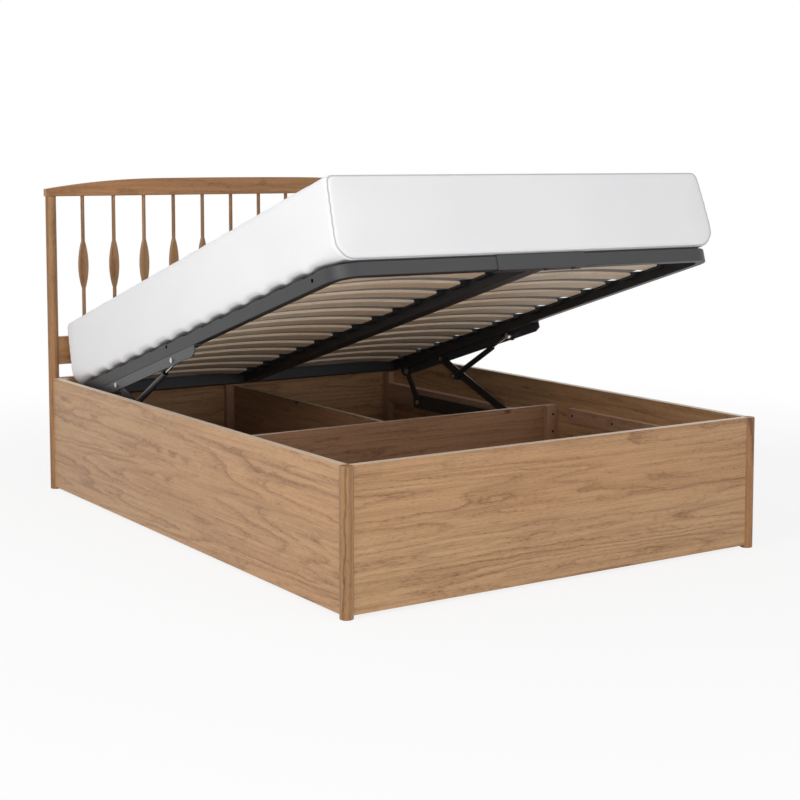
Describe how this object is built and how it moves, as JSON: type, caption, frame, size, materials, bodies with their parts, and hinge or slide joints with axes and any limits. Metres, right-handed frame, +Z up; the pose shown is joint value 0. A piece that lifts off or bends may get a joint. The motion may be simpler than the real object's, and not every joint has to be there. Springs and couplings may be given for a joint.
{
  "type": "ottoman bed",
  "caption": "Double ottoman bed in oak with a spindle headboard: the mattress platform lifts on arms and gas struts over divided storage",
  "frame": {"origin": "on the floor, midway between the four corner posts, which is also the middle of the box's length and width", "axes": "+Z up, +Y from the foot of the bed to the headboard, +X to the right as seen from the foot"},
  "size_m": [1.454, 2.0195, 1.1209],
  "materials": {
    "oak": "satin",
    "oak_veneer": "satin",
    "divider_board": "satin",
    "batten_wood": "matte",
    "floor_board": "matte",
    "slat_beech": "satin",
    "frame_steel": "satin",
    "zinc_bolt": "satin",
    "rod_chrome": "polished",
    "holder_plastic": "matte",
    "mattress_cover": "matte"
  },
  "bodies": {
    "base": {"base_bracket_left": "frame_steel", "base_bracket_right": "frame_steel", "base_pivot_bolts": "zinc_bolt", "corner_blocks": "batten_wood", "cross_divider": "divider_board", "divider_battens": "batten_wood", "floor_board_foot": "floor_board", "floor_board_head_left": "floor_board", "floor_board_head_right": "floor_board", "floor_cleats": "batten_wood", "foot_panel": "oak_veneer", "foot_post_left": "oak", "foot_post_right": "oak", "front_cleats": "batten_wood", "head_panel": "oak_veneer", "head_post_left": "oak", "head_post_right": "oak", "headboard_lower_rail": "oak", "headboard_top_rail": "oak", "lengthwise_divider": "divider_board", "rear_cleats": "batten_wood", "side_panel_left": "oak_veneer", "side_panel_right": "oak_veneer", "spindle_01": "oak", "spindle_02": "oak", "spindle_03": "oak", "spindle_04": "oak", "spindle_05": "oak", "spindle_06": "oak", "spindle_07": "oak", "spindle_08": "oak", "spindle_09": "oak", "spindle_10": "oak", "spindle_11": "oak", "wood_screws": "zinc_bolt"},
    "platform": {"side_tube_left": "frame_steel", "side_tube_right": "frame_steel", "foot_sleeve": "frame_steel", "head_bar": "frame_steel", "centre_rail": "frame_steel", "lift_bracket_left": "frame_steel", "lift_bracket_right": "frame_steel", "platform_pivot_bolts": "zinc_bolt", "slats_left": "slat_beech", "slats_right": "slat_beech", "slat_holders": "holder_plastic", "frame_bolts": "zinc_bolt", "mattress": "mattress_cover"},
    "long_arm_left": {"long_arm_left": "frame_steel", "strut_pin_left": "zinc_bolt"},
    "rear_arm_left": {"rear_arm_left": "frame_steel"},
    "strut_cylinder_left": {"strut_cylinder_left": "frame_steel"},
    "strut_rod_left": {"strut_rod_left": "rod_chrome"},
    "long_arm_right": {"long_arm_right": "frame_steel", "strut_pin_right": "zinc_bolt"},
    "rear_arm_right": {"rear_arm_right": "frame_steel"},
    "strut_cylinder_right": {"strut_cylinder_right": "frame_steel"},
    "strut_rod_right": {"strut_rod_right": "rod_chrome"}
  },
  "joints": [
    {"name": "long_arm_left_hinge", "type": "hinge", "parent": "base", "child": "long_arm_left", "pos_m": [-0.6532, 0.07855, 0.2439], "axis": [1, 0, 0], "range_deg": [-12.84, 0]},
    {"name": "platform_lift", "type": "hinge", "parent": "long_arm_left", "child": "platform", "pos_m": [-0.6532, 0.54675, 0.418], "axis": [1, 0, 0], "range_deg": [0, 29.52]},
    {"name": "long_arm_right_hinge", "type": "hinge", "parent": "base", "child": "long_arm_right", "pos_m": [0.6532, 0.07855, 0.2439], "axis": [1, 0, 0], "range_deg": [-12.84, 0]},
    {"name": "rear_arm_left_hinge", "type": "hinge", "parent": "base", "child": "rear_arm_left", "pos_m": [-0.6532, 0.70295, 0.2318], "axis": [1, 0, 0], "range_deg": [-22.45, 0]},
    {"name": "strut_foot_left_hinge", "type": "hinge", "parent": "long_arm_left", "child": "strut_cylinder_left", "pos_m": [-0.64, 0.44379, 0.362], "axis": [1, 0, 0], "range_deg": [0, 36.98]},
    {"name": "strut_top_left_hinge", "type": "hinge", "parent": "platform", "child": "strut_rod_left", "pos_m": [-0.64, 0.11669, 0.54494], "axis": [1, 0, 0], "range_deg": [0, 7.47]},
    {"name": "rear_arm_right_hinge", "type": "hinge", "parent": "base", "child": "rear_arm_right", "pos_m": [0.6532, 0.70295, 0.2318], "axis": [1, 0, 0], "range_deg": [-22.45, 0]},
    {"name": "strut_foot_right_hinge", "type": "hinge", "parent": "long_arm_right", "child": "strut_cylinder_right", "pos_m": [0.64, 0.44379, 0.362], "axis": [1, 0, 0], "range_deg": [0, 36.98]},
    {"name": "strut_top_right_hinge", "type": "hinge", "parent": "platform", "child": "strut_rod_right", "pos_m": [0.64, 0.11669, 0.54494], "axis": [1, 0, 0], "range_deg": [0, 7.47]}
  ],
  "couplings": [
    {"joint": "long_arm_left_hinge", "follows": "platform_lift", "ratio": -0.4342},
    {"joint": "long_arm_right_hinge", "follows": "platform_lift", "ratio": -0.4342},
    {"joint": "rear_arm_left_hinge", "follows": "platform_lift", "ratio": -0.75989},
    {"joint": "strut_foot_left_hinge", "follows": "platform_lift", "ratio": 1.2523},
    {"joint": "strut_top_left_hinge", "follows": "platform_lift", "ratio": 0.25234},
    {"joint": "rear_arm_right_hinge", "follows": "platform_lift", "ratio": -0.75989},
    {"joint": "strut_foot_right_hinge", "follows": "platform_lift", "ratio": 1.2523},
    {"joint": "strut_top_right_hinge", "follows": "platform_lift", "ratio": 0.25234}
  ]
}
